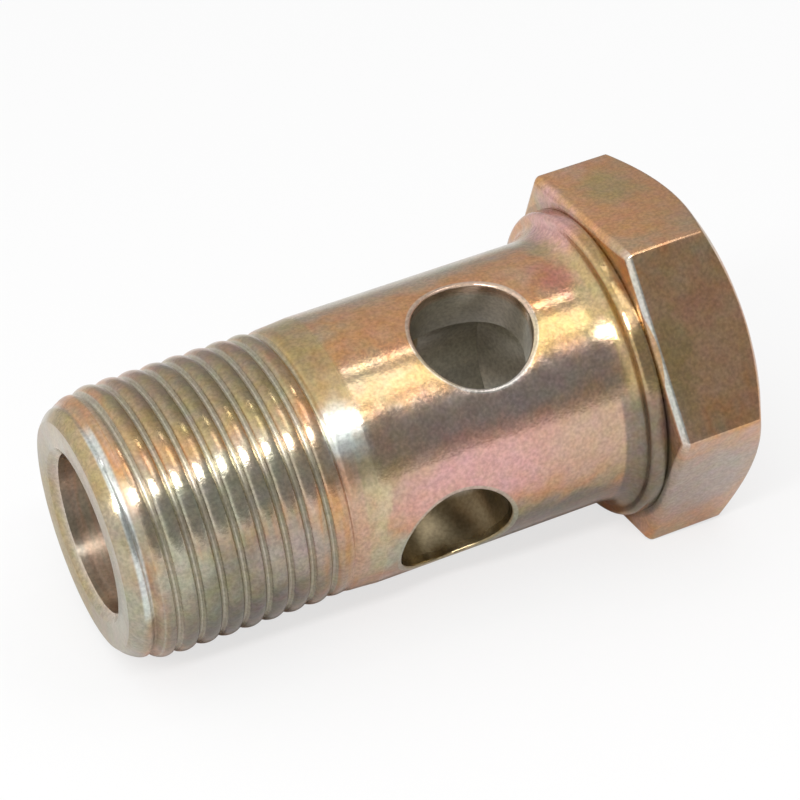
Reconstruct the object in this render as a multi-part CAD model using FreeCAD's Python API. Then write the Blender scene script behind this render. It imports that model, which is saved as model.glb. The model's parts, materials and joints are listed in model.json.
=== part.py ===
import FreeCAD, Part
import math
import os

from FreeCAD import Rotation, Vector

# A banjo bolt: a hexagon bolt whose shank is drilled along its axis and across, so that fluid can pass
# from a banjo fitting into the thread end. Lengths are in millimetres and angles in degrees.
# The bolt is drawn with its axis along X: the head is towards +X, the tip towards -X, and the origin is
# the centre of the bearing face under the head. Its last step tips it into the pose in which it lies.
# Angles round the axis are measured from straight up (+Z) towards the front (-Y).

# Hexagon
hex_across_flats = 22.0
hex_height = 7.0
hex_top_face_diameter = 20.4
hex_top_chamfer_angle = 30.0
hex_lower_edge_break = 0.35

# Collar under the hexagon, which bears on the sealing washer
collar_diameter = 21.0
collar_height = 1.1
collar_rim_chamfer = 0.3

# Shank
shank_diameter = 18.0
shank_length = 35.0
under_head_fillet = 0.9

# Thread, M18 x 1.5, and the turned tip, which has a steep edge and then a slow taper
thread_major_diameter = 17.85
thread_length = 14.3
thread_runout_length = 3.0
tip_face_diameter = 15.2
tip_edge_diameter = 16.5
tip_edge_length = 0.65
tip_taper_length = 1.85

# Blind bore along the axis
bore_diameter = 10.6
bore_depth = 30.4
bore_point_angle = 118.0
bore_mouth_chamfer = 0.5

# Cross holes, each drilled right through both walls
cross_hole_diameter = 7.8
cross_hole_edge_break = 0.2
near_hole_from_bearing_face = 8.8
near_hole_angle = 27.0
far_hole_from_bearing_face = 13.0
far_hole_angle = 117.0

# How far a cutting tool overshoots the surface that it cuts
overshoot = 5.0

# Sizes worked out from the ones above
hex_corner_radius = hex_across_flats / 2 / math.cos(math.radians(30))
shank_radius = shank_diameter / 2
thread_radius = thread_major_diameter / 2
collar_radius = collar_diameter / 2
bore_radius = bore_diameter / 2
cross_hole_radius = cross_hole_diameter / 2
thread_end_x = thread_length - shank_length
tip_edge_x = tip_edge_length - shank_length
thread_start_x = tip_edge_x + tip_taper_length


def line(start, end):
    """A straight edge between two (x, radius) points of the half section."""
    return Part.makeLine(Vector(start[0], 0, start[1]), Vector(end[0], 0, end[1]))


def arc(start, middle, end):
    """A round edge through three (x, radius) points of the half section."""
    return Part.Arc(*[Vector(x, 0, radius) for x, radius in (start, middle, end)]).toShape()


def spin(edges):
    """The solid that a closed half section sweeps round the bolt's axis."""
    face = Part.Face(Part.Wire(edges))
    return face.revolve(Vector(0, 0, 0), Vector(1, 0, 0), 360)


def spin_points(points):
    """The solid that a closed half section of straight edges sweeps round the bolt's axis."""
    corners = points + points[:1]
    return spin([line(a, b) for a, b in zip(corners, corners[1:])])


def shank_and_collar():
    """The turned body: tip, thread blank, shank, under-head fillet and collar, with a root in the head."""
    bend = 1 - math.sqrt(0.5)
    root_x = collar_height + hex_height / 2
    tip = (-shank_length, tip_face_diameter / 2)
    tip_axis = (-shank_length, 0)
    tip_edge = (tip_edge_x, tip_edge_diameter / 2)
    blank_start = (thread_start_x, thread_radius)
    blank_end = (thread_end_x, thread_radius)
    shank_start = (thread_end_x + thread_runout_length, shank_radius)
    shank_end = (-under_head_fillet, shank_radius)
    fillet_middle = (-under_head_fillet * bend, shank_radius + under_head_fillet * bend)
    face_start = (0, shank_radius + under_head_fillet)
    face_end = (0, collar_radius - collar_rim_chamfer)
    rim_end = (collar_rim_chamfer, collar_radius)
    collar_back = (collar_height, collar_radius)
    root_start = (collar_height, shank_radius)
    root_end = (root_x, shank_radius)
    root_axis = (root_x, 0)
    return spin([
        line(tip_axis, tip),
        line(tip, tip_edge),
        line(tip_edge, blank_start),
        line(blank_start, blank_end),
        line(blank_end, shank_start),
        line(shank_start, shank_end),
        arc(shank_end, fillet_middle, face_start),
        line(face_start, face_end),
        line(face_end, rim_end),
        line(rim_end, collar_back),
        line(collar_back, root_start),
        line(root_start, root_end),
        line(root_end, root_axis),
        line(root_axis, tip_axis),
    ])


def hexagon():
    """The six-sided head, with its lower edges broken and its top corners turned off to a cone."""
    corners = []
    for side in range(7):
        angle = math.radians(60 * side + 30)
        corners.append(Vector(collar_height, -hex_corner_radius * math.sin(angle),
                              hex_corner_radius * math.cos(angle)))
    outline = Part.Face(Part.makePolygon(corners))
    prism = outline.extrude(Vector(hex_height, 0, 0))
    lower_edges = [e for e in prism.Edges if e.BoundBox.XMax < collar_height + 1e-4]
    prism = prism.makeChamfer(hex_lower_edge_break, lower_edges)
    top_x = collar_height + hex_height
    top_radius = hex_top_face_diameter / 2
    cone_radius = hex_corner_radius + overshoot
    cone_depth = (cone_radius - top_radius) * math.tan(math.radians(hex_top_chamfer_angle))
    turned = spin_points([
        (collar_height - overshoot, 0),
        (collar_height - overshoot, cone_radius),
        (top_x - cone_depth, cone_radius),
        (top_x, top_radius),
        (top_x, 0),
    ])
    return prism.common(turned)


def axial_bore():
    """The tool for the blind bore: drilled from the tip, with a chamfered mouth and a drill point."""
    bottom_x = bore_depth - shank_length
    point_depth = bore_radius / math.tan(math.radians(bore_point_angle / 2))
    mouth_radius = bore_radius + bore_mouth_chamfer
    return spin_points([
        (-shank_length - overshoot, 0),
        (-shank_length - overshoot, mouth_radius + overshoot),
        (-shank_length, mouth_radius),
        (bore_mouth_chamfer - shank_length, bore_radius),
        (bottom_x, bore_radius),
        (bottom_x + point_depth, 0),
    ])


def around(angle):
    """The direction away from the axis at an angle from straight up towards the front."""
    turn = math.radians(angle)
    return Vector(0, -math.sin(turn), math.cos(turn))


def cross_hole(distance, angle):
    """The tool for one cross hole, right through both walls."""
    reach = shank_radius + overshoot
    out = around(angle)
    start = Vector(-distance, 0, 0) - out * reach
    return Part.makeCylinder(cross_hole_radius, 2 * reach, start, out)


def off_axis(point, base, direction):
    """How far a point lies from an axis."""
    return (point - base).cross(direction).Length


def cross_hole_rims(body, distance, angle):
    """The edges where a cross hole opens on the outside of the shank."""
    base = Vector(-distance, 0, 0)
    rims = []
    for edge in body.Edges:
        if edge.Degenerated:
            continue
        points = edge.discretize(5)
        in_hole = all(abs(off_axis(p, base, around(angle)) - cross_hole_radius) < 1e-3 for p in points)
        outside = all(off_axis(p, Vector(), Vector(1, 0, 0)) > bore_radius + 1e-3 for p in points)
        if in_hole and outside:
            rims.append(edge)
    return rims


def resting_tilt():
    """The angle at which the bolt lies: on the lower edge of one flat and on the end of its thread or tip."""
    head_contact_x = collar_height + hex_lower_edge_break
    ends = [(thread_start_x, thread_radius), (tip_edge_x, tip_edge_diameter / 2)]
    ends.append((-shank_length, tip_face_diameter / 2))
    slopes = [math.atan2(hex_across_flats / 2 - radius, head_contact_x - x) for x, radius in ends]
    return math.degrees(min(slopes))


def banjo_bolt():
    """The whole bolt, one solid, in the pose in which it lies."""
    body = shank_and_collar().fuse(hexagon()).removeSplitter()
    body = body.cut(axial_bore())
    holes = [(near_hole_from_bearing_face, near_hole_angle), (far_hole_from_bearing_face, far_hole_angle)]
    for distance, angle in holes:
        body = body.cut(cross_hole(distance, angle))
    rims = [edge for distance, angle in holes for edge in cross_hole_rims(body, distance, angle)]
    body = body.makeChamfer(cross_hole_edge_break, rims)
    solid = body.Solids[0]
    solid.rotate(Vector(0, 0, 0), Vector(0, 1, 0), -resting_tilt())
    return solid


os.makedirs("parts", exist_ok=True)
bolt = banjo_bolt()
bolt.exportStep("parts/banjo_bolt.step")
print("banjo_bolt: valid", bolt.isValid(), "volume", round(bolt.Volume, 1), "tilt", round(resting_tilt(), 3))
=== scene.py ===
"""The looks of a banjo bolt: a plated hexagon bolt with a rolled thread, a blind bore and two cross holes.

The bolt is modelled along its own axis and then laid into the pose that the frame gives it. Places along the
axis are measured from the bearing face under the head, positive towards the head. Angles round the axis are
measured from straight up towards the front. Lengths are in metres.
"""

import json
import logging
import math
from collections.abc import Callable, Iterable
from dataclasses import dataclass, field
from enum import Enum

import bmesh
import bpy
from bmesh.types import BMEdge, BMesh, BMVert
from mathutils import Matrix, Vector


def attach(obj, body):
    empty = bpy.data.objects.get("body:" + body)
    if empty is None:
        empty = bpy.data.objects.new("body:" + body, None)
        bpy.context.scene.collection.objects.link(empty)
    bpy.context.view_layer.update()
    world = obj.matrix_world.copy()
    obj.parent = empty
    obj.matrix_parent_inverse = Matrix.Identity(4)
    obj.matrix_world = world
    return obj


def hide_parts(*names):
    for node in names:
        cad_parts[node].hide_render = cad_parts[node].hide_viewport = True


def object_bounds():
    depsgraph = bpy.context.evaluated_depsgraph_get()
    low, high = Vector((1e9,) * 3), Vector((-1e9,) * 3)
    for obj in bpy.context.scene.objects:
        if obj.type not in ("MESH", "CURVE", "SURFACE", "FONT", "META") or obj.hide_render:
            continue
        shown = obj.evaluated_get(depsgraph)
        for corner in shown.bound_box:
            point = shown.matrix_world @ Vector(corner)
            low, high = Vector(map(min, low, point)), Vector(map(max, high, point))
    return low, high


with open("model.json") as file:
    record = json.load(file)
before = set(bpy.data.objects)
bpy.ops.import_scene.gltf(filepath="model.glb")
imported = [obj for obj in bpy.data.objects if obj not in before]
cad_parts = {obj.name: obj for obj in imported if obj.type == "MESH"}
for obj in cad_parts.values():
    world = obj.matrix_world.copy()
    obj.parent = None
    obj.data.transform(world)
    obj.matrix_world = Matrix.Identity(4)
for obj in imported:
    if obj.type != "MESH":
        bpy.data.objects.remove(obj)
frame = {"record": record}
cad_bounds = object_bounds()

MM = 0.001
# How far apart two places may be and still count as one, and two distances for merging doubled points
NEAR = 0.01 * MM
MERGE = 0.002 * MM
TINY = 0.001 * MM
# The axes across the bolt's own axis
ACROSS = (0, 1, 1)
ALL_ROUND = 180.0
PIECE = "banjo_bolt_plated"
NODE = "banjo_bolt"
BODY = "root"
SLOT = "plated_steel"

log = logging.getLogger("banjo_bolt")

Rim = list[BMEdge]
Pair = tuple[float, float]
Triple = tuple[float, float, float]
Four = tuple[float, float, float, float]
Place = Callable[[float], Pair]
Socket = bpy.types.NodeSocket


def angle_of(point: Vector) -> float:
    """The angle of a point round the bolt's axis, in radians."""
    return math.atan2(-point.y, point.z)


def around(along: float, radius: float, angle: float) -> Vector:
    """The point at a place along the axis, a distance from it and an angle round it, in radians."""
    return Vector((along, -radius * math.sin(angle), radius * math.cos(angle)))


def eased(value: float, start: float, end: float) -> float:
    """How far a value has gone from start to end, from 0 to 1, with soft ends."""
    share = min(1.0, max(0.0, (value - start) / (end - start)))
    return share * share * (3 - 2 * share)


def soft_least(first: float, second: float, blend: float) -> float:
    """The lesser of two values, rounded off where they are closer than the blend."""
    gap = max(blend - abs(first - second), 0.0) / blend
    return min(first, second) - gap * gap * blend / 4


def quarter_round(steps: int) -> list[Pair]:
    """The (sine, cosine) pairs of a quarter turn, both ends included."""
    turns = [math.pi / 2 * step / steps for step in range(steps + 1)]
    return [(math.sin(turn), math.cos(turn)) for turn in turns]


@dataclass(frozen=True)
class RestingPose:
    """How the bolt lies in the shared frame, as its record gives it."""

    to_head: Vector
    origin: Vector

    @classmethod
    def from_record(cls, record: dict) -> "RestingPose":
        """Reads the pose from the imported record.

        Args:
            record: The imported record, whose bore mount points towards the tip.

        Returns:
            The pose.
        """
        mounts = {mount["name"]: mount for mount in record["mounts"]}
        to_head = -Vector(mounts["axial_bore"]["axis"]).normalized()
        return cls(to_head, Vector(mounts["bearing_face"]["pos_m"]))

    def matrix(self) -> Matrix:
        """The matrix that takes the bolt's own frame to the shared frame."""
        side = Vector((0, 0, 1)).cross(self.to_head).normalized()
        up = self.to_head.cross(side)
        turn = Matrix((self.to_head, side, up)).transposed()
        return Matrix.Translation(self.origin) @ turn.to_4x4()


@dataclass(frozen=True)
class ThreadForm:
    """A rolled metric thread of 60 degrees: broad rounded crests with a narrow groove between them."""

    pitch: float = 1.5 * MM
    depth: float = 0.42 * MM
    root_radius: float = 0.14 * MM
    crest_half_width: float = 0.52 * MM
    crest_fall: float = 0.14 * MM
    crest_blend: float = 0.12 * MM
    blend_growth: float = 1 / 3
    flank_lean: float = math.radians(60)
    phase: float = 0.5 * MM
    rows_in_pitch: int = 20

    def cut(self, along: float, retreat: float) -> float:
        """How deep the surface lies below the blank at a place along the axis.

        Args:
            along: The distance along the axis, with the turn of the helix taken off.
            retreat: How far the rolling die stands back from its full depth.

        Returns:
            The depth below the blank, at least 0.
        """
        offset = abs(((along - self.phase) / self.pitch + 0.5) % 1.0 - 0.5) * self.pitch
        root_half = self.root_radius * math.sin(self.flank_lean)
        if offset < root_half:
            rise = self.root_radius - math.sqrt(self.root_radius ** 2 - offset ** 2)
        else:
            root_height = self.root_radius * (1 - math.cos(self.flank_lean))
            rise = root_height + (offset - root_half) * math.tan(self.flank_lean)
        from_crest = (self.pitch / 2 - offset) / self.crest_half_width
        crest = self.crest_fall * from_crest ** 2 * max(0.0, 1 - retreat / self.depth)
        fading = eased(self.depth - retreat, 0, self.depth / 2)
        blend = self.crest_blend + self.blend_growth * retreat
        return fading * max(0.0, -soft_least(rise + retreat - self.depth, -crest, blend))


@dataclass
class CrossHole:
    """One cross hole, drilled right through both walls of the shank, with its outer rims eased."""

    along: float
    angle: float
    radius: float
    rim_round: float = 0.28 * MM
    inner_round: float = 0.06 * MM
    margin: float = 0.3 * MM
    segments: int = 96
    rim_steps: int = 4
    inner_steps: int = 2

    def point(self, side: float, distance: float, turn: float, surface: float, sink: float) -> Vector:
        """A point of one of the hole's rings.

        Args:
            side: 1 for the wall at the hole's angle and -1 for the wall opposite.
            distance: How far the ring is from the hole's axis.
            turn: The angle of the point round the hole's axis, in radians.
            surface: The radius of the turned surface that the ring lies on.
            sink: How far the point lies below that surface.

        Returns:
            The point in the bolt's own frame.
        """
        across = distance * math.sin(turn)
        height = math.sqrt(surface ** 2 - across ** 2) - sink
        out = around(0, 1, self.angle) * side
        sideways = Vector((1, 0, 0)).cross(out)
        return Vector((self.along + distance * math.cos(turn), 0, 0)) + sideways * across + out * height

    def reach(self, point: Vector, side: float) -> float:
        """How far a point on one wall is from the hole's axis, or a long way if it is on the other wall."""
        out = around(0, 1, self.angle) * side
        offset = point - Vector((self.along, 0, 0))
        if offset.dot(out) < 0:
            return math.inf
        return (offset - out * offset.dot(out)).length

    def open_wall(self, mesh: BMesh, side: float, surface: float, clear: float) -> Rim:
        """Takes the faces round the hole out of one turned surface.

        Args:
            mesh: The bolt's mesh.
            side: The wall, 1 or -1.
            surface: The radius of the surface.
            clear: The radius, round the hole's axis, that is left free of faces.

        Returns:
            The edges round the gap.
        """
        def on_surface(vert: BMVert) -> bool:
            return abs(math.hypot(vert.co.y, vert.co.z) - surface) < NEAR

        gone = {
            face for face in mesh.faces
            if all(on_surface(vert) for vert in face.verts)
            and any(self.reach(vert.co, side) < clear for vert in face.verts)
        }
        edges = {edge for face in gone for edge in face.edges}
        rim = [edge for edge in edges if any(face not in gone for face in edge.link_faces)]
        bmesh.ops.delete(mesh, geom=list(gone), context="FACES")
        return rim

    def ring(self, mesh: BMesh, side: float, distance: float, surface: float) -> tuple[list[BMVert], Rim]:
        """A ring round the hole that lies on a turned surface, as its vertices in order and its edges."""
        made = bmesh.ops.create_circle(mesh, cap_ends=False, radius=distance, segments=self.segments)
        verts = made["verts"]
        for number, vert in enumerate(verts):
            turn = 2 * math.pi * number / self.segments
            vert.co = self.point(side, distance, turn, surface, 0)
        return verts, list({edge for vert in verts for edge in vert.link_edges})

    def drill(self, mesh: BMesh, outer: float, inner: float) -> None:
        """Opens the hole through both walls, with a wall face between the rims.

        Args:
            mesh: The bolt's mesh.
            outer: The shank's radius.
            inner: The bore's radius.
        """
        for side in (1.0, -1.0):
            outside = self.open_wall(mesh, side, outer, self.radius + self.rim_round + self.margin)
            inside = self.open_wall(mesh, side, inner, self.radius + self.inner_round + self.margin)
            rings = []
            for sine, cosine in quarter_round(self.rim_steps):
                distance = self.radius + self.rim_round * (1 - sine)
                rings.append((distance, outer, self.rim_round * (1 - cosine)))
            for sine, cosine in quarter_round(self.inner_steps):
                distance = self.radius + self.inner_round * (1 - cosine)
                rings.append((distance, inner, -self.inner_round * (1 - sine)))
            first, rim = self.ring(mesh, side, rings[0][0], rings[0][1])
            bmesh.ops.bridge_loops(mesh, edges=outside + rim)
            order = {vert: number for number, vert in enumerate(first)}
            for distance, surface, sink in rings[1:]:
                rim, order = self.step(mesh, side, rim, order, (distance, surface, sink))
            bmesh.ops.bridge_loops(mesh, edges=inside + rim)

    def step(self, mesh: BMesh, side: float, rim: Rim, order: dict[BMVert, int],
             place: Triple) -> tuple[Rim, dict[BMVert, int]]:
        """Extrudes a ring once and puts the new ring in its place.

        Args:
            mesh: The bolt's mesh.
            side: The wall, 1 or -1.
            rim: The edges of the ring to extrude.
            order: The number of each of its vertices round the hole.
            place: The new ring's distance from the hole's axis, its surface and how far it is sunk.

        Returns:
            The new ring's edges, and the number of each of its vertices.
        """
        before = {vert.co.copy().freeze(): number for vert, number in order.items()}
        made = bmesh.ops.extrude_edge_only(mesh, edges=rim)["geom"]
        new_order = {item: before[item.co.copy().freeze()] for item in made if isinstance(item, BMVert)}
        distance, surface, sink = place
        for vert, number in new_order.items():
            turn = 2 * math.pi * number / self.segments
            vert.co = self.point(side, distance, turn, surface, sink)
        new_rim = [item for item in made if isinstance(item, BMEdge) and set(item.verts) <= set(new_order)]
        return new_rim, new_order


@dataclass
class BanjoBolt:
    """The bolt, as one closed skin round its axis."""

    across_flats: float = 22.0 * MM
    head_height: float = 7.0 * MM
    head_face_radius: float = 10.2 * MM
    head_chamfer: float = math.radians(30)
    head_lower_break: float = 0.35 * MM
    head_edge_round: float = 0.16 * MM
    head_edge_steps: int = 3
    head_edge_crisp: float = math.radians(16)
    head_ring_share: float = 0.6
    collar_radius: float = 10.5 * MM
    collar_height: float = 1.1 * MM
    collar_round: float = 0.35 * MM
    collar_steps: int = 5
    collar_back_break: Pair = (0.08 * MM, 0.05 * MM)
    fillet: float = 0.9 * MM
    fillet_length: float = 1.9 * MM
    fillet_steps: int = 10
    shank_radius: float = 9.0 * MM
    shank_length: float = 35.0 * MM
    thread_radius: float = 8.925 * MM
    thread_length: float = 14.3 * MM
    runout_length: float = 2.8 * MM
    runout_dip: float = 0.14 * MM
    die_lift: Pair = (-0.2 * MM, 1.1 * MM)
    dip_reach: Pair = (-0.9 * MM, 0.5 * MM)
    shoulder_start: float = 0.3 * MM
    shoulder_blend: float = 0.2 * MM
    lead_in: Pair = (0.1 * MM, 1.6 * MM)
    tip_face_radius: float = 7.6 * MM
    tip_face_break: Pair = (0.05 * MM, 0.06 * MM)
    tip_plain_length: float = 0.35 * MM
    tip_edge_length: float = 0.65 * MM
    tip_edge_radius: float = 8.25 * MM
    tip_taper_length: float = 2.5 * MM
    tip_blend: float = 0.3 * MM
    bore_radius: float = 5.3 * MM
    bore_depth: float = 30.4 * MM
    bore_point: float = math.radians(118)
    bore_first_row: float = 6 * MM
    bore_fine_margin: float = 1.0 * MM
    mouth_break: float = 0.52 * MM
    mouth_edge_flat: float = 0.05 * MM
    mouth_edge_slope: Pair = (0.03 * MM, 0.02 * MM)
    cross_holes: tuple[CrossHole, ...] = ()
    thread: ThreadForm = field(default_factory=ThreadForm)
    segments: int = 180
    row_height: float = 0.4 * MM
    spare_rows: int = 2
    overlap: float = 0.1 * MM
    crisp: float = math.radians(32)

    def thread_end(self) -> float:
        """Where the thread's full depth ends, along the axis."""
        return self.thread_length - self.shank_length

    def runout_end(self) -> float:
        """Where the thread's run-out reaches the plain shank."""
        return self.thread_end() + self.runout_length

    def tip_radius(self, along: float) -> float:
        """The radius of the turned tip, which the thread doesn't pass."""
        back = along + self.shank_length
        edge_slope = (self.tip_edge_radius - self.tip_face_radius) / self.tip_edge_length
        edge = self.tip_face_radius + edge_slope * back
        taper_rise = self.thread_radius - self.tip_edge_radius
        taper_slope = taper_rise / (self.tip_taper_length - self.tip_edge_length)
        taper = self.tip_edge_radius + taper_slope * (back - self.tip_edge_length)
        return soft_least(edge, taper, self.tip_blend)

    def past_thread(self, along: float, reach: Pair) -> float:
        """How far a place has gone through a reach that starts from the full thread's end, from 0 to 1."""
        start, end = reach
        return eased(along, self.thread_end() + start, self.thread_end() + end)

    def threaded_radius(self, along: float, angle: float) -> float:
        """The radius of the threaded part at a place along the axis and an angle round it."""
        retreat = self.thread.depth * self.past_thread(along, self.die_lift)
        groove = self.thread.cut(along - self.thread.pitch * angle / (2 * math.pi), retreat)
        blank = self.thread_radius - self.runout_dip * self.past_thread(along, self.dip_reach)
        shoulder_start = self.thread_end() + self.shoulder_start
        shoulder_share = (along - shoulder_start) / (self.runout_end() - shoulder_start)
        low = self.thread_radius - self.runout_dip
        shoulder = low + (self.shank_radius - low) * min(1.0, shoulder_share)
        blank = -soft_least(-blank, -shoulder, self.shoulder_blend)
        lead_start, lead_end = self.lead_in
        lead = eased(along, self.tip_plain_place() + lead_start, self.tip_plain_place() + lead_end)
        return soft_least(blank, self.tip_radius(along), self.tip_blend) - groove * lead

    def head_radius(self, angle: float) -> float:
        """The radius of the hexagon at an angle round the axis, with one flat facing up."""
        flat = math.radians(60)
        return self.across_flats / 2 / math.cos((angle + flat / 2) % flat - flat / 2)

    def threaded_skin(self, mesh: BMesh) -> tuple[Rim, Rim]:
        """Spins the thread, row by row along its helix, and trims both ends square.

        Args:
            mesh: The mesh that gets the skin.

        Returns:
            The open rims at the tip end and at the shank end.
        """
        start = self.tip_plain_place()
        end = self.runout_end() + self.overlap
        row = self.thread.pitch / self.thread.rows_in_pitch
        rows = math.ceil((end - start) / row) + self.thread.rows_in_pitch + self.spare_rows
        first = start - self.thread.pitch - row / 2
        verts = [mesh.verts.new((first + row * number, 0, self.thread_radius)) for number in range(rows)]
        edges = [mesh.edges.new(pair) for pair in zip(verts, verts[1:])]
        advance = Vector((self.thread.pitch / self.segments, 0, 0))
        bmesh.ops.spin(mesh, geom=verts + edges, cent=(0, 0, 0), axis=(1, 0, 0), dvec=advance,
                       angle=2 * math.pi, steps=self.segments, use_merge=False, use_duplicate=False)
        bmesh.ops.remove_doubles(mesh, verts=mesh.verts, dist=MERGE)
        for vert in mesh.verts:
            angle = angle_of(vert.co)
            vert.co = around(vert.co.x, self.threaded_radius(vert.co.x, angle), angle)
        for place, outward in ((start, -1), (end, 1)):
            geometry = list(mesh.verts) + list(mesh.edges) + list(mesh.faces)
            bmesh.ops.bisect_plane(mesh, geom=geometry, dist=TINY, plane_co=(place, 0, 0),
                                   plane_no=(outward, 0, 0), clear_outer=True, clear_inner=False)
        return self.rim_at(mesh, start), self.rim_at(mesh, end)

    def tip_plain_place(self) -> float:
        """A place on the tip that lies below the roots of the thread."""
        return self.tip_plain_length - self.shank_length

    def rim_at(self, mesh: BMesh, along: float) -> Rim:
        """The open edges that lie in one plane across the axis."""
        return [
            edge for edge in mesh.edges
            if edge.is_boundary and all(abs(vert.co.x - along) < MERGE for vert in edge.verts)
        ]

    def grow(self, mesh: BMesh, rim: Rim, place: Place) -> Rim:
        """Extrudes an open rim once.

        Args:
            mesh: The bolt's mesh.
            rim: The edges to extrude.
            place: The place along the axis and the radius of the new rim at an angle round the axis.

        Returns:
            The new rim.
        """
        made = bmesh.ops.extrude_edge_only(mesh, edges=rim)["geom"]
        verts = {item for item in made if isinstance(item, BMVert)}
        for vert in verts:
            angle = angle_of(vert.co)
            vert.co = around(*place(angle), angle)
        return [item for item in made if isinstance(item, BMEdge) and set(item.verts) <= verts]

    def grow_rings(self, mesh: BMesh, rim: Rim, rings: Iterable[Pair]) -> Rim:
        """Extrudes an open rim through round rings, each a place along the axis and a radius."""
        for along, radius in rings:
            rim = self.grow(mesh, rim, lambda angle: (along, radius))
        return rim

    def close(self, mesh: BMesh, rim: Rim, along: float) -> None:
        """Closes a rim to a point on the axis."""
        made = bmesh.ops.extrude_edge_only(mesh, edges=rim)["geom"]
        verts = [item for item in made if isinstance(item, BMVert)]
        bmesh.ops.pointmerge(mesh, verts=verts, merge_co=(along, 0, 0))

    def rows(self, start: float, end: float) -> list[float]:
        """Evenly spaced places from after start up to end, about a row's height apart."""
        count = max(1, round(abs(end - start) / self.row_height))
        return [start + (end - start) * number / count for number in range(1, count + 1)]

    def inside(self, mesh: BMesh, rim: Rim) -> None:
        """Carries the tip's rim over the tip face and down the bore to the drill point."""
        tip = -self.shank_length
        mouth = self.bore_radius + self.mouth_break
        bottom = tip + self.bore_depth
        fine_start = min(hole.along - hole.radius for hole in self.cross_holes) - self.bore_fine_margin
        break_along, break_across = self.tip_face_break
        slope_along, slope_across = self.mouth_edge_slope
        rings = [
            (tip + break_along, self.tip_face_radius),
            (tip, self.tip_face_radius - break_across),
            (tip, mouth + self.mouth_edge_flat),
            (tip + slope_along, mouth - slope_across),
            (tip + self.mouth_break, self.bore_radius),
            (tip + self.bore_first_row, self.bore_radius),
            (fine_start, self.bore_radius),
        ]
        rings += [(place, self.bore_radius) for place in self.rows(fine_start, bottom)]
        rim = self.grow_rings(mesh, rim, rings)
        self.close(mesh, rim, bottom + self.bore_radius / math.tan(self.bore_point / 2))

    def outside(self, mesh: BMesh, rim: Rim) -> None:
        """Carries the thread's rim up the shank, over the collar and round the head."""
        places = self.rows(self.runout_end() + self.overlap, -self.fillet_length)
        rings = [(place, self.shank_radius) for place in places]
        for sine, cosine in quarter_round(self.fillet_steps)[1:]:
            rings.append((self.fillet_length * (sine - 1), self.shank_radius + self.fillet * (1 - cosine)))
        for sine, cosine in quarter_round(self.collar_steps):
            radius = self.collar_radius - self.collar_round * (1 - sine)
            rings.append((self.collar_round * (1 - cosine), radius))
        break_along, break_across = self.collar_back_break
        rings.append((self.collar_height - break_along, self.collar_radius))
        rings.append((self.collar_height, self.collar_radius - break_across))
        rim = self.grow_rings(mesh, rim, rings)
        self.head(mesh, rim)

    def head(self, mesh: BMesh, rim: Rim) -> None:
        """Makes the hexagon from the collar's back rim, and closes its top."""
        low, top = self.collar_height, self.collar_height + self.head_height
        lower_share = 1 - self.head_lower_break / (self.across_flats / 2)

        def shoulder(angle: float) -> Pair:
            radius = self.head_radius(angle)
            return top - (radius - self.head_face_radius) * math.tan(self.head_chamfer), radius

        rim = self.grow(mesh, rim, lambda angle: (low, self.head_radius(angle) * lower_share))
        rim = self.grow(mesh, rim, lambda angle: (low + self.head_lower_break, self.head_radius(angle)))
        rim = self.grow(mesh, rim, shoulder)
        rim = self.grow(mesh, rim, lambda angle: (top, self.head_face_radius))
        rim = self.grow(mesh, rim, lambda angle: (top, self.head_face_radius * self.head_ring_share))
        self.close(mesh, rim, top)

    def ease_head(self, mesh: BMesh) -> None:
        """Rounds every crisp edge of the hexagon a little."""
        clear = self.collar_radius + 2 * NEAR
        top = self.collar_height + self.head_height
        edges = []
        for edge in mesh.edges:
            on_head = all(vert.co.x > self.collar_height - NEAR for vert in edge.verts)
            outer = all(math.hypot(vert.co.y, vert.co.z) > clear for vert in edge.verts)
            on_top = all(abs(vert.co.x - top) < NEAR for vert in edge.verts)
            if on_head and (outer or on_top) and edge.calc_face_angle(0) > self.head_edge_crisp:
                edges.append(edge)
        bmesh.ops.bevel(mesh, geom=edges, offset=self.head_edge_round, offset_type="OFFSET", affect="EDGES",
                        segments=self.head_edge_steps, profile=0.5, material=-1, clamp_overlap=True)

    def skin(self) -> BMesh:
        """The bolt's whole skin, closed and facing outwards, in its own frame."""
        mesh = bmesh.new()
        tip_rim, shank_rim = self.threaded_skin(mesh)
        self.inside(mesh, tip_rim)
        self.outside(mesh, shank_rim)
        for hole in self.cross_holes:
            hole.drill(mesh, self.shank_radius, self.bore_radius)
        self.ease_head(mesh)
        bmesh.ops.remove_doubles(mesh, verts=mesh.verts, dist=TINY)
        bmesh.ops.recalc_face_normals(mesh, faces=mesh.faces)
        return mesh

    def build(self, pose: RestingPose) -> bpy.types.Object:
        """Builds the bolt as an object in its resting pose.

        Args:
            pose: How the bolt lies in the shared frame.

        Returns:
            The object, with smooth faces and sharp edges marked.
        """
        mesh = self.skin()
        bmesh.ops.transform(mesh, matrix=pose.matrix(), verts=mesh.verts)
        for face in mesh.faces:
            face.smooth = True
        for edge in mesh.edges:
            edge.smooth = edge.calc_face_angle(0) < self.crisp
        loose = sum(1 for edge in mesh.edges if not edge.is_manifold)
        log.info("%s: %d faces, volume %.1f mm3, %d open edges", PIECE, len(mesh.faces),
                 mesh.calc_volume(signed=True) / MM ** 3, loose)
        data = bpy.data.meshes.new(PIECE)
        mesh.to_mesh(data)
        mesh.free()
        bolt = bpy.data.objects.new(PIECE, data)
        bpy.context.scene.collection.objects.link(bolt)
        return bolt


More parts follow.
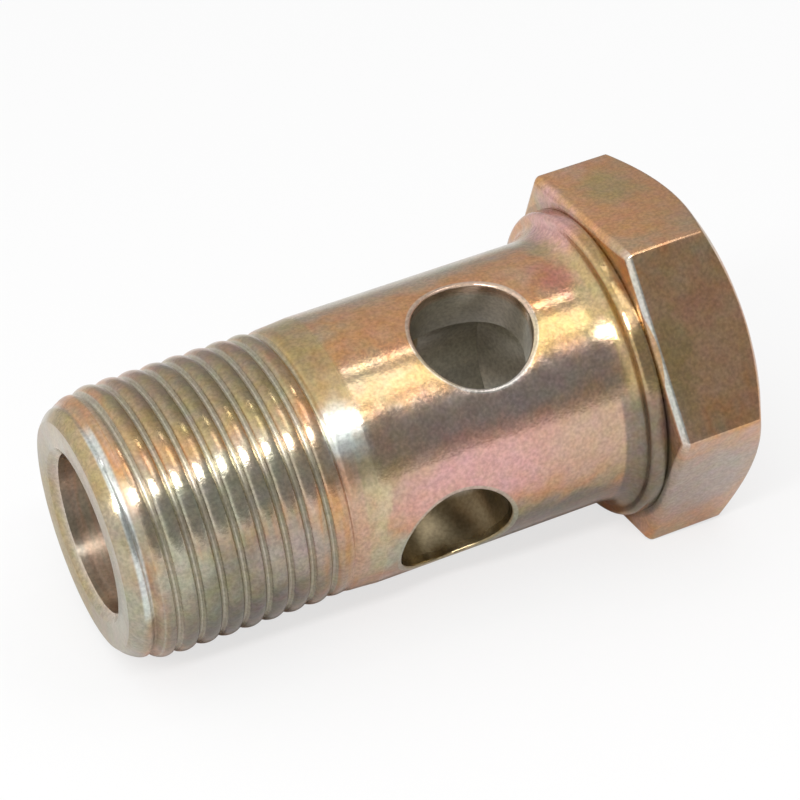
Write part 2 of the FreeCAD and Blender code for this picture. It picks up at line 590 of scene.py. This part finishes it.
class Bench:
    """Adds the nodes of one shader and joins them.

    A Mix node holds the sockets of every kind of data, so they are picked by their numbers.
    """

    MIX_SHARE = 0
    MIX_NUMBERS = (2, 3)
    MIX_COLOURS = (6, 7)
    MIX_COLOUR_RESULT = 2
    NOISE_ROUGHNESS = 0.55

    def __init__(self, tree: bpy.types.NodeTree) -> None:
        """Takes the node tree to work in."""
        self.tree = tree

    def join(self, value: object, socket: Socket) -> None:
        """Feeds a socket with another node's output, or sets it to a plain value."""
        if isinstance(value, Socket):
            self.tree.links.new(value, socket)
        else:
            socket.default_value = value

    def node(self, kind: str, inputs: dict[int | str, object] | None = None,
             **settings: object) -> bpy.types.Node:
        """Adds one node.

        Args:
            kind: The node's type.
            inputs: A value or another node's output for each input that isn't left as it is.
            settings: The node's own settings.

        Returns:
            The node.
        """
        made = self.tree.nodes.new(kind)
        for key, value in settings.items():
            setattr(made, key, value)
        for key, value in (inputs or {}).items():
            self.join(value, made.inputs[key])
        return made

    def math(self, operation: str, *values: object) -> Socket:
        """The result of one sum on up to three values."""
        return self.node("ShaderNodeMath", dict(enumerate(values)), operation=operation).outputs[0]

    def vector(self, operation: str, *values: object) -> Socket:
        """The vector that one vector sum gives."""
        made = self.node("ShaderNodeVectorMath", dict(enumerate(values)), operation=operation)
        return made.outputs["Vector"]

    def length(self, value: object) -> Socket:
        """The length of a vector."""
        return self.node("ShaderNodeVectorMath", {0: value}, operation="LENGTH").outputs["Value"]

    def dot(self, first: object, second: object) -> Socket:
        """How far two vectors agree, from -1 to 1 where both have a length of 1."""
        made = self.node("ShaderNodeVectorMath", {0: first, 1: second}, operation="DOT_PRODUCT")
        return made.outputs["Value"]

    def noise(self, place: object, scale: float, detail: float = 2.0, output: str = "Fac") -> Socket:
        """Noise around 0.5 at a scale in cells per unit of the place."""
        inputs = {"Vector": place, "Scale": scale, "Detail": detail, "Roughness": self.NOISE_ROUGHNESS}
        return self.node("ShaderNodeTexNoise", inputs).outputs[output]

    def fade(self, value: object, start: float, end: float, first: float, last: float) -> Socket:
        """A value that goes softly from first to last as another goes from start to end."""
        inputs = {"Value": value, "From Min": start, "From Max": end, "To Min": first, "To Max": last}
        return self.node("ShaderNodeMapRange", inputs, interpolation_type="SMOOTHSTEP").outputs["Result"]

    def blend(self, share: object, first: object, second: object) -> Socket:
        """A number between two others."""
        sockets = zip((self.MIX_SHARE, *self.MIX_NUMBERS), (share, first, second))
        return self.node("ShaderNodeMix", dict(sockets), data_type="FLOAT").outputs[0]

    def within(self, value: object, start: float, end: float, softness: float) -> Socket:
        """1 where a value lies between two others, with soft ends outside them."""
        return self.math("MULTIPLY", self.fade(value, start - softness, start, 0.0, 1.0),
                         self.fade(value, end, end + softness, 1.0, 0.0))

    def tint(self, share: object, first: object, second: Triple) -> Socket:
        """A colour between another node's colour and a plain one."""
        sockets = zip((self.MIX_SHARE, *self.MIX_COLOURS), (share, first, (*second, 1)))
        made = self.node("ShaderNodeMix", dict(sockets), data_type="RGBA")
        return made.outputs[self.MIX_COLOUR_RESULT]

    def scaled(self, vector: object, factor: object) -> Socket:
        """A vector, or a colour, times a number."""
        made = self.node("ShaderNodeVectorMath", {0: vector, "Scale": factor}, operation="SCALE")
        return made.outputs["Vector"]

    def ramp(self, value: object, stops: list[tuple[float, Triple]]) -> Socket:
        """A colour read from a ramp of stops."""
        made = self.node("ShaderNodeValToRGB", {"Fac": value})
        elements = made.color_ramp.elements
        while len(elements) < len(stops):
            elements.new(position=0.5)
        for element, (place, colour) in zip(elements, stops):
            element.position = place
            element.color = (*colour, 1)
        return made.outputs["Color"]


class Film(Enum):
    """The colours that a yellow chromate film takes as it thickens, as seen over bright zinc. The umber and
    the darkest colour are also laid on as painted shade, and the pale blue film as a painted highlight.
    """

    # A thin pale film, also laid on as a painted highlight at the run-out's glint, the first groove, the
    # hexagon's lower edge and the near hole's rim
    PALE_FILM_AND_HIGHLIGHT = (0.62, 0.68, 0.66)
    GREEN_GREY = (0.42, 0.42, 0.33)
    STRAW = (0.56, 0.47, 0.30)
    GOLD = (0.62, 0.42, 0.18)
    TAN = (0.47, 0.35, 0.22)
    OLIVE = (0.42, 0.32, 0.15)
    BROWN = (0.58, 0.37, 0.22)
    ORANGE = (0.60, 0.31, 0.15)
    ROSE = (0.54, 0.23, 0.17)
    PINK = (0.64, 0.37, 0.345)
    PEACH = (0.56, 0.38, 0.28)
    MAUVE = (0.42, 0.35, 0.31)
    SAGE = (0.24, 0.225, 0.165)
    PALE_GREY = (0.59, 0.575, 0.51)
    CLEAR = (0.50, 0.46, 0.37)
    # A dark film, also laid on as painted shade under the head, along the underside, over the tip and in the
    # far cross hole
    UMBER_AND_SHADE = (0.17, 0.15, 0.13)
    # Painted shade, laid in the crease between the collar and the hexagon
    CREASE_SHADE = (0.16, 0.13, 0.10)


@dataclass(frozen=True)
class FilmPatch:
    """A cloudy patch where the film has a colour of its own; some patches are painted shade and painted
    highlights. Lengths are in millimetres.
    """

    along: float
    angle: float
    radius: float
    reach_along: float
    reach_across: float
    film: Film
    strength: float


@dataclass(frozen=True)
class FilmRing:
    """A turned face or edge with its own film, all the way round or within a spread each way of an angle;
    some rings are painted shade and painted highlights.
    """

    start: float
    end: float
    inner: float
    outer: float
    softness: float
    film: Film
    strength: float
    angle: float = 0.0
    spread: float = ALL_ROUND


@dataclass(frozen=True)
class RimFilm:
    """The film on the broken edge round a cross hole's mouths, or on its wall from a radius outwards; on the
    far hole's wall it is partly painted shade.
    """

    along: float
    angle: float
    inner: float
    outer: float
    film: Film
    strength: float
    lowest: float = 8.0


@dataclass(frozen=True)
class PlatedFinish:
    """Yellow chromate over bright zinc, whose film drifts through its colours from place to place, with
    painted shade and painted highlights laid over it in some patches and rings.

    Places and radii are in millimetres. A noise is given as its cells in a millimetre and its detail, a fade
    as what it goes from and to and what it gives there, and a reach as its ends and how soft they are.
    """

    name: str = SLOT
    turning: float = 0.8
    quarter_turn: float = 0.25
    grain_noise: Pair = (3.4, 3.0)
    grain_strength: float = 0.3
    grain_height: float = 0.03 * MM
    mottle_noise: Pair = (4.2, 4.0)
    mottle: Four = (0.25, 0.75, 0.82, 1.18)
    polish_noise: Pair = (0.8, 4.0)
    polish: Four = (0.3, 0.7, 0.17, 0.26)
    groove_roughness: float = 0.42
    groove_depth: Four = (8.55, 8.75, 1.0, 0.0)
    groove_reach: Triple = (-33.6, -20.4, 0.4)
    runout_roughness: float = 0.36
    runout_reach: Triple = (-20.1, -18.3, 0.3)
    inside_roughness: float = 0.36
    inside_share: float = 0.95
    inside_radii: Pair = (5.75, 8.72)
    inside_depth: Four = (0.0, 0.9, 0.0, 1.0)
    inside_end: Four = (0.0, 1.0, 1.0, 0.0)
    by_holes: Four = (-20.0, -19.0, 0.0, 1.0)
    streak_stretch: Triple = (0.9, 0.1, 0.1)
    streak_noise: Pair = (1.0, 2.0)
    streak_share: Four = (-20.4, -19.0, 0.8, 0.1)
    drift_noise: Pair = (0.17, 3.0)
    wander_noise: Pair = (0.5, 4.0)
    wander: float = 3.0
    patch_core: float = 0.3
    ring_softness: float = 12.0
    rim_softness: float = 0.06
    rim_fade: float = 0.6
    tone_noise: Pair = (0.9, 3.0)
    tone: Triple = (0.09, 0.09, 0.10)
    drift: tuple[tuple[float, Film], ...] = (
        (0.28, Film.OLIVE),
        (0.40, Film.TAN),
        (0.50, Film.ORANGE),
        (0.62, Film.PEACH),
        (0.76, Film.GREEN_GREY),
    )
    patches: tuple[FilmPatch, ...] = (
        FilmPatch(-10.0, 4, 9, 9.0, 5.5, Film.ORANGE, 0.9),
        FilmPatch(-10.0, -26, 9, 14.0, 4.2, Film.GREEN_GREY, 0.7),
        FilmPatch(-16.5, 33, 9, 3.5, 2.6, Film.STRAW, 0.6),
        FilmPatch(-2.2, 16, 9, 1.8, 2.6, Film.ROSE, 0.8),
        FilmPatch(-8.0, 38, 9, 12.0, 2.4, Film.GOLD, 0.85),
        FilmPatch(-9.0, 58, 9, 14.0, 2.6, Film.MAUVE, 0.9),
        FilmPatch(-11.0, 86, 9, 10.0, 4.4, Film.PINK, 0.9),
        FilmPatch(-3.5, 88, 9, 5.0, 4.6, Film.PEACH, 0.9),
        FilmPatch(-14.0, 112, 9, 6.0, 2.2, Film.GREEN_GREY, 0.8),
        # Painted shade: umber along the shank's underside, where the bolt's own shadow under it is mirrored
        FilmPatch(-8.0, 128, 9, 14.0, 4.0, Film.UMBER_AND_SHADE, 0.85),
        FilmPatch(-28.0, 104, 9, 10.0, 7.5, Film.SAGE, 0.95),
        FilmPatch(-28.0, 57, 9, 12.0, 3.8, Film.GREEN_GREY, 0.85),
        # Painted shade: umber along the thread's underside, where the bolt's own shadow under it is mirrored
        FilmPatch(-27.0, 126, 9, 9.0, 4.0, Film.UMBER_AND_SHADE, 0.8),
        FilmPatch(-24.0, 92, 9, 4.0, 3.0, Film.MAUVE, 0.7),
        FilmPatch(-31.5, 82, 9, 2.6, 3.4, Film.GREEN_GREY, 0.7),
        # Painted highlight: pale film laid where the window lamp's glint falls on the run-out, to whiten it
        FilmPatch(-19.2, 49, 9, 2.0, 2.8, Film.PALE_FILM_AND_HIGHLIGHT, 0.85),
        FilmPatch(-26.5, 0, 9, 9.0, 6.0, Film.UMBER_AND_SHADE, 0.75),
        FilmPatch(-31.0, 20, 9, 3.4, 2.8, Film.ORANGE, 0.7),
        FilmPatch(-26.0, 22, 9, 9.0, 3.6, Film.OLIVE, 0.75),
        FilmPatch(-28.0, 10, 9, 10.0, 4.5, Film.OLIVE, 0.5),
        FilmPatch(-27.0, 14, 9, 9.0, 3.6, Film.UMBER_AND_SHADE, 0.42),
        FilmPatch(-18.0, 112, 9, 3.0, 2.6, Film.GREEN_GREY, 0.8),
        FilmPatch(-34.6, 96, 8, 1.3, 2.6, Film.STRAW, 0.7),
        FilmPatch(-34.6, 150, 8, 1.3, 3.4, Film.PEACH, 0.5),
        FilmPatch(-18.4, 84, 9, 0.9, 5.0, Film.STRAW, 0.7),
        FilmPatch(4.0, 0, 11, 7.0, 8.0, Film.ORANGE, 0.75),
        FilmPatch(4.5, -12, 11, 2.6, 3.6, Film.OLIVE, 0.8),
        FilmPatch(4.0, 60, 11, 6.0, 6.5, Film.BROWN, 0.85),
        FilmPatch(5.0, 50, 12, 2.4, 2.0, Film.ROSE, 0.35),
        FilmPatch(2.4, 66, 11, 1.6, 6.0, Film.OLIVE, 0.7),
        FilmPatch(4.0, 118, 11, 6.0, 7.0, Film.MAUVE, 0.9),
        FilmPatch(0.2, -14, 10, 1.6, 5.0, Film.PINK, 0.9),
    )
    rings: tuple[FilmRing, ...] = (
        FilmRing(-40.0, -34.4, 5.6, 20.0, 0.6, Film.GREEN_GREY, 0.7),
        # Painted shade: a light umber over the tip, which faces the bright side of the studio
        FilmRing(-40.0, -34.2, 5.6, 20.0, 0.4, Film.UMBER_AND_SHADE, 0.2),
        FilmRing(-40.0, -34.3, 5.6, 20.0, 0.3, Film.TAN, 0.4, 30, 50),
        FilmRing(-34.8, -34.3, 5.6, 20.0, 0.3, Film.OLIVE, 0.7, 8, 30),
        FilmRing(-35.2, -34.5, 5.6, 20.0, 0.3, Film.OLIVE, 0.5, 236, 40),
        # Pale film in the first groove at the tip, on the side facing the camera, which stands as a painted
        # highlight
        FilmRing(-34.1, -33.7, 7.9, 20.0, 0.2, Film.PALE_FILM_AND_HIGHLIGHT, 0.8, 56, 40),
        FilmRing(-0.5, 1.0, 9.3, 10.6, 0.3, Film.OLIVE, 0.7, 80, 64),
        # Painted shade: umber on the fillet and the collar's lower side, under the head
        FilmRing(-1.0, 1.1, 9.08, 10.7, 0.3, Film.UMBER_AND_SHADE, 0.75, 108, 28),
        # Pale film on the lower edge break of the flat that faces the camera, laid on as a painted highlight
        FilmRing(1.2, 1.5, 11.0, 20.0, 0.08, Film.PALE_FILM_AND_HIGHLIGHT, 0.7, 60, 24),
        # Painted shade in the crease between the collar and the hexagon
        FilmRing(0.9, 1.15, 10.2, 10.9, 0.1, Film.CREASE_SHADE, 0.3),
        FilmRing(-33.0, -20.4, 8.0, 8.62, 0.14, Film.CLEAR, 0.9),
        FilmRing(-20.3, -19.3, 8.0, 20.0, 0.3, Film.PEACH, 0.7, 92, 25),
        FilmRing(-19.1, -18.2, 8.0, 20.0, 0.25, Film.STRAW, 0.45, 92, 25),
        FilmRing(-20.3, -18.2, 8.0, 20.0, 0.4, Film.OLIVE, 0.7, 8, 26),
    )
    rims: tuple[RimFilm, ...] = (
        # Pale film on the near hole's broken rim, which also stands as a painted highlight on the edge
        RimFilm(-8.8, 27, 3.88, 4.22, Film.PALE_FILM_AND_HIGHLIGHT, 0.35),
        RimFilm(-13.0, 117, 3.88, 4.22, Film.GREEN_GREY, 0.6),
        # The far hole's wall from the bore outwards: an olive film that also darkens it, and umber over
        # that, both painted shade in the recess
        RimFilm(-13.0, 117, 3.7, 3.94, Film.OLIVE, 0.8, 5.2),
        RimFilm(-13.0, 117, 3.7, 3.94, Film.UMBER_AND_SHADE, 0.3, 5.2),
    )

    def material(self, pose: RestingPose) -> bpy.types.Material:
        """Makes the material.

        Args:
            pose: How the bolt lies, because the film's places are given along and round its axis.

        Returns:
            The material.
        """
        material = bpy.data.materials.new(self.name)
        material.use_nodes = True
        bench = Bench(material.node_tree)
        shader = material.node_tree.nodes["Principled BSDF"]
        place = self.place(bench, pose)
        along = bench.node("ShaderNodeSeparateXYZ", {0: place}).outputs["X"]
        radius = bench.length(bench.vector("MULTIPLY", place, ACROSS))
        inside = self.inside(bench, along, radius)
        colour = self.film(bench, place, along, radius)
        colour = bench.tint(bench.math("MULTIPLY", inside, self.inside_share), colour, Film.PALE_GREY.value)
        colour = self.hole_films(bench, place, radius, colour)
        colour = bench.scaled(colour, bench.fade(bench.noise(place, *self.mottle_noise), *self.mottle))
        shader.inputs["Metallic"].default_value = 1.0
        shader.inputs["Anisotropic"].default_value = self.turning
        shader.inputs["Anisotropic Rotation"].default_value = self.quarter_turn
        bench.join(self.cut_direction(bench, pose), shader.inputs["Tangent"])
        bench.join(colour, shader.inputs["Base Color"])
        rough = bench.fade(bench.noise(place, *self.polish_noise), *self.polish)
        rough = bench.blend(self.grooves(bench, along, radius), rough, self.groove_roughness)
        rough = bench.blend(bench.within(along, *self.runout_reach), rough, self.runout_roughness)
        bench.join(bench.blend(inside, rough, self.inside_roughness), shader.inputs["Roughness"])
        grain = bench.noise(place, *self.grain_noise)
        inputs = {"Strength": self.grain_strength, "Distance": self.grain_height, "Height": grain}
        bench.join(bench.node("ShaderNodeBump", inputs).outputs["Normal"], shader.inputs["Normal"])
        return material

    def place(self, bench: Bench, pose: RestingPose) -> Socket:
        """The place on the bolt in its own frame, in millimetres."""
        coordinates = bench.node("ShaderNodeTexCoord").outputs["Object"]
        turn = pose.matrix().to_3x3().inverted().to_euler()
        inputs = {"Vector": coordinates, "Rotation": turn, "Scale": (1 / MM, 1 / MM, 1 / MM)}
        return bench.node("ShaderNodeMapping", inputs).outputs["Vector"]

    def cut_direction(self, bench: Bench, pose: RestingPose) -> Socket:
        """The direction round the axis, in which the tool cut the turned surfaces."""
        coordinates = bench.node("ShaderNodeTexCoord").outputs["Object"]
        offset = bench.vector("SUBTRACT", coordinates, tuple(pose.origin))
        return bench.vector("NORMALIZE", bench.vector("CROSS_PRODUCT", offset, tuple(pose.to_head)))

    def inside(self, bench: Bench, along: Socket, radius: Socket) -> Socket:
        """How far a place is inside the bore or a cross hole, from 0 to 1."""
        limit = bench.blend(bench.fade(along, *self.by_holes), *self.inside_radii)
        deep = bench.fade(bench.math("SUBTRACT", limit, radius), *self.inside_depth)
        return bench.math("MULTIPLY", deep, bench.fade(along, *self.inside_end))

    def grooves(self, bench: Bench, along: Socket, radius: Socket) -> Socket:
        """How far a place is down in the thread's grooves, where the surface is duller, from 0 to 1."""
        low = bench.fade(radius, *self.groove_depth)
        return bench.math("MULTIPLY", low, bench.within(along, *self.groove_reach))

    def spread_of(self, bench: Bench, place: Socket, noise: Pair) -> Socket:
        """A coloured noise as a vector about zero."""
        return bench.vector("SUBTRACT", bench.noise(place, *noise, "Color"), (0.5, 0.5, 0.5))

    def film(self, bench: Bench, place: Socket, along: Socket, radius: Socket) -> Socket:
        """The film's colour at a place on the bolt: a slow drift, then the patches and the turned rings,
        some of which are painted shade and painted highlights.
        """
        stretched = bench.vector("MULTIPLY", place, self.streak_stretch)
        streak = bench.noise(stretched, *self.streak_noise)
        drift = bench.noise(place, *self.drift_noise)
        drift = bench.blend(bench.fade(along, *self.streak_share), drift, streak)
        colour = bench.ramp(drift, [(stop, film.value) for stop, film in self.drift])
        wander = self.spread_of(bench, place, self.wander_noise)
        strayed = bench.vector("MULTIPLY_ADD", wander, (self.wander,) * 3, place)
        for patch in self.patches:
            centre = around(patch.along, patch.radius, math.radians(patch.angle))
            offset = bench.vector("SUBTRACT", strayed, tuple(centre))
            reach = (1 / patch.reach_along, 1 / patch.reach_across, 1 / patch.reach_across)
            away = bench.length(bench.vector("MULTIPLY", offset, reach))
            share = bench.fade(away, self.patch_core, 1.0, patch.strength, 0.0)
            colour = bench.tint(share, colour, patch.film.value)
        for ring in self.rings:
            share = bench.math("MULTIPLY", bench.within(along, ring.start, ring.end, ring.softness),
                               bench.within(radius, ring.inner, ring.outer, ring.softness))
            if ring.spread < ALL_ROUND:
                across = bench.vector("NORMALIZE", bench.vector("MULTIPLY", place, ACROSS))
                facing = bench.dot(across, tuple(around(0, 1, math.radians(ring.angle))))
                edge, full = (math.cos(math.radians(ring.spread + soft)) for soft in (self.ring_softness, 0))
                share = bench.math("MULTIPLY", share, bench.fade(facing, edge, full, 0.0, 1.0))
            colour = bench.tint(bench.math("MULTIPLY", share, ring.strength), colour, ring.film.value)
        return bench.vector("MULTIPLY_ADD", self.spread_of(bench, place, self.tone_noise), self.tone, colour)

    def hole_films(self, bench: Bench, place: Socket, radius: Socket, colour: Socket) -> Socket:
        """The colour with the films on the cross holes' rims and walls laid over it; the far hole's wall is
        darkened as painted shade.
        """
        for rim in self.rims:
            out = tuple(around(0, 1, math.radians(rim.angle)))
            offset = bench.vector("SUBTRACT", place, (rim.along, 0, 0))
            distance = bench.length(bench.vector("CROSS_PRODUCT", offset, out))
            share = bench.math("MULTIPLY", bench.within(distance, rim.inner, rim.outer, self.rim_softness),
                               bench.fade(radius, rim.lowest, rim.lowest + self.rim_fade, 0.0, rim.strength))
            colour = bench.tint(share, colour, rim.film.value)
        return colour


@dataclass(frozen=True)
class View:
    """The photo's view, measured from the bolt: the angle round its axis, and the swing, roll and place."""

    lens: float = 141.6
    sensor: float = 36.0
    clip: Pair = (0.01, 10.0)
    angle: float = math.radians(56)
    swing: float = math.radians(18.21)
    roll: float = math.radians(18.95)
    to_tip: float = 76.05 * MM
    away: float = 193.85 * MM
    below: float = -1.60 * MM

    def direction(self, pose: RestingPose, tipward: float, towards: float, lower: float) -> Vector:
        """A direction given by its shares towards the tip, towards the camera and down across the view."""
        turn = pose.matrix().to_3x3()
        across = around(0, 1, self.angle + math.pi / 2)
        return turn @ (Vector((-tipward, 0, 0)) + around(0, 1, self.angle) * towards + across * lower)

    def camera(self, pose: RestingPose) -> bpy.types.Object:
        """Places the camera where the photo was taken from.

        Args:
            pose: How the bolt lies, because the view was measured on the bolt.

        Returns:
            The camera.
        """
        back = self.direction(pose, math.sin(self.swing), math.cos(self.swing), 0)
        level = self.direction(pose, -math.cos(self.swing), math.sin(self.swing), 0)
        lower = self.direction(pose, 0, 0, 1)
        right = level * math.cos(self.roll) + lower * math.sin(self.roll)
        up = back.cross(right)
        data = bpy.data.cameras.new("camera")
        data.lens, data.sensor_width = self.lens, self.sensor
        data.clip_start, data.clip_end = self.clip
        camera = bpy.data.objects.new("camera", data)
        place = Matrix((right, up, back)).transposed().to_4x4()
        place.translation = pose.origin + self.direction(pose, self.to_tip, self.away, self.below)
        camera.matrix_world = place
        bpy.context.scene.collection.objects.link(camera)
        bpy.context.scene.camera = camera
        return camera


@dataclass(frozen=True)
class Lamp:
    """A soft light, placed by its direction in the view's terms, whose long side lies along the bolt."""

    name: str
    direction: Triple
    distance: float
    length: float
    width: float
    brightness: float

    def place(self, pose: RestingPose, view: View, centre: Vector) -> bpy.types.Object:
        """Makes the lamp, turned to the bolt.

        Args:
            pose: How the bolt lies.
            view: The view that the direction is given in.
            centre: The point that the lamp looks at.

        Returns:
            The lamp, whose face has the brightness given, where 1 is white.
        """
        data = bpy.data.lights.new(self.name, "AREA")
        data.shape = "RECTANGLE"
        data.size, data.size_y = self.length, self.width
        data.energy = self.brightness * math.pi * self.length * self.width
        lamp = bpy.data.objects.new(self.name, data)
        out = view.direction(pose, *self.direction).normalized()
        side = view.direction(pose, 1, 0, 0)
        side = (side - out * side.dot(out)).normalized()
        turn = Matrix((side, out.cross(side), out)).transposed().to_4x4()
        turn.translation = centre + out * self.distance
        lamp.matrix_world = turn
        bpy.context.scene.collection.objects.link(lamp)
        return lamp


@dataclass(frozen=True)
class Studio:
    """The floor, the surrounding light and the lamps."""

    floor_size: float = 4.0
    floor_colour: float = 0.74
    floor_roughness: float = 0.8
    white_share: float = 0.7
    horizon: float = 0.82
    zenith: float = 1.2
    sky_reach: Pair = (-0.1, 0.9)
    head_side: float = 0.5
    tip_side: float = 1.15
    side_reach: Pair = (-0.8, 0.8)
    dark: float = 0.36
    dark_angles: Four = (-20, -14, 27, 30)
    dark_reach: Pair = (0.35, 0.75)
    lamps: tuple[Lamp, ...] = (
        Lamp("skylight", (-0.37, 0.47, -0.79), 0.9, 0.10, 0.07, 8.5),
        Lamp("overhead", (-0.37, 0.80, -0.60), 0.6, 0.22, 0.20, 1.8),
        Lamp("window", (0.38, 0.956, -0.31), 0.45, 0.48, 0.06, 16.0),
    )

    def floor(self, height: float) -> bpy.types.Object:
        """Makes a wide pale floor that keeps the bolt's shadow and is close to white for the camera.

        Args:
            height: How high the floor is.

        Returns:
            The floor.
        """
        mesh = bmesh.new()
        bmesh.ops.create_grid(mesh, x_segments=1, y_segments=1, size=self.floor_size / 2)
        bmesh.ops.translate(mesh, verts=mesh.verts, vec=(0, 0, height))
        data = bpy.data.meshes.new("floor")
        mesh.to_mesh(data)
        mesh.free()
        floor = bpy.data.objects.new("floor", data)
        bpy.context.scene.collection.objects.link(floor)
        material = bpy.data.materials.new("floor")
        material.use_nodes = True
        bench = Bench(material.node_tree)
        shader = material.node_tree.nodes["Principled BSDF"]
        shader.inputs["Base Color"].default_value = (self.floor_colour,) * 3 + (1,)
        shader.inputs["Roughness"].default_value = self.floor_roughness
        white = bench.node("ShaderNodeEmission", {"Color": (1, 1, 1, 1), "Strength": 1.0})
        camera_ray = bench.node("ShaderNodeLightPath").outputs["Is Camera Ray"]
        share = bench.math("MULTIPLY", camera_ray, self.white_share)
        mixed = bench.node("ShaderNodeMixShader", {0: share, 1: shader.outputs[0], 2: white.outputs[0]})
        bench.join(mixed.outputs[0], material.node_tree.nodes["Material Output"].inputs["Surface"])
        data.materials.append(material)
        return floor

    def surround(self, pose: RestingPose, view: View) -> None:
        """Makes the world: brighter overhead and towards the tip, dark on one side, white to the camera."""
        world = bpy.data.worlds.new("studio")
        bpy.context.scene.world = world
        world.use_nodes = True
        bench = Bench(world.node_tree)
        ray = bench.node("ShaderNodeTexCoord").outputs["Generated"]
        height = bench.node("ShaderNodeSeparateXYZ", {0: ray}).outputs["Z"]
        level = bench.fade(height, *self.sky_reach, self.horizon, self.zenith)
        tipward = bench.dot(ray, tuple(view.direction(pose, 1, 0, 0)))
        sideways = bench.fade(tipward, *self.side_reach, self.head_side, self.tip_side)
        level = bench.math("MULTIPLY", level, sideways)
        towards = bench.dot(ray, tuple(view.direction(pose, 0, 1, 0)))
        lower = bench.dot(ray, tuple(view.direction(pose, 0, 0, 1)))
        top_edge, top, low, low_edge = (math.radians(angle) for angle in self.dark_angles)
        turn = bench.math("ARCTAN2", lower, towards)
        share = bench.math("MULTIPLY", bench.fade(turn, top_edge, top, 0.0, 1.0),
                           bench.fade(turn, low, low_edge, 1.0, 0.0))
        share = bench.math("MULTIPLY", share, bench.fade(tipward, *self.dark_reach, 1.0, 0.0))
        level = bench.blend(share, level, self.dark)
        camera_ray = bench.node("ShaderNodeLightPath").outputs["Is Camera Ray"]
        level = bench.blend(camera_ray, level, 1.0)
        bench.join(level, world.node_tree.nodes["Background"].inputs["Strength"])
        world.node_tree.nodes["Background"].inputs["Color"].default_value = (1, 1, 1, 1)


def main() -> None:
    """Builds the bolt, dresses it and sets up the studio."""
    logging.basicConfig(level=logging.INFO, format="%(name)s: %(message)s")
    scene = bpy.context.scene
    scene.view_settings.view_transform = "Standard"
    pose = RestingPose.from_record(frame["record"])
    near = CrossHole(along=-8.8 * MM, angle=math.radians(27), radius=3.9 * MM)
    far = CrossHole(along=-13.0 * MM, angle=math.radians(117), radius=3.9 * MM)
    bolt = BanjoBolt(cross_holes=(near, far)).build(pose)
    bolt.data.materials.append(PlatedFinish().material(pose))
    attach(bolt, BODY)
    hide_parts(NODE)
    view = View()
    view.camera(pose)
    studio = Studio()
    studio.floor(cad_bounds[0].z)
    studio.surround(pose, view)
    for lamp in studio.lamps:
        lamp.place(pose, view, (cad_bounds[0] + cad_bounds[1]) / 2)


if __name__ == "__main__":
    main()
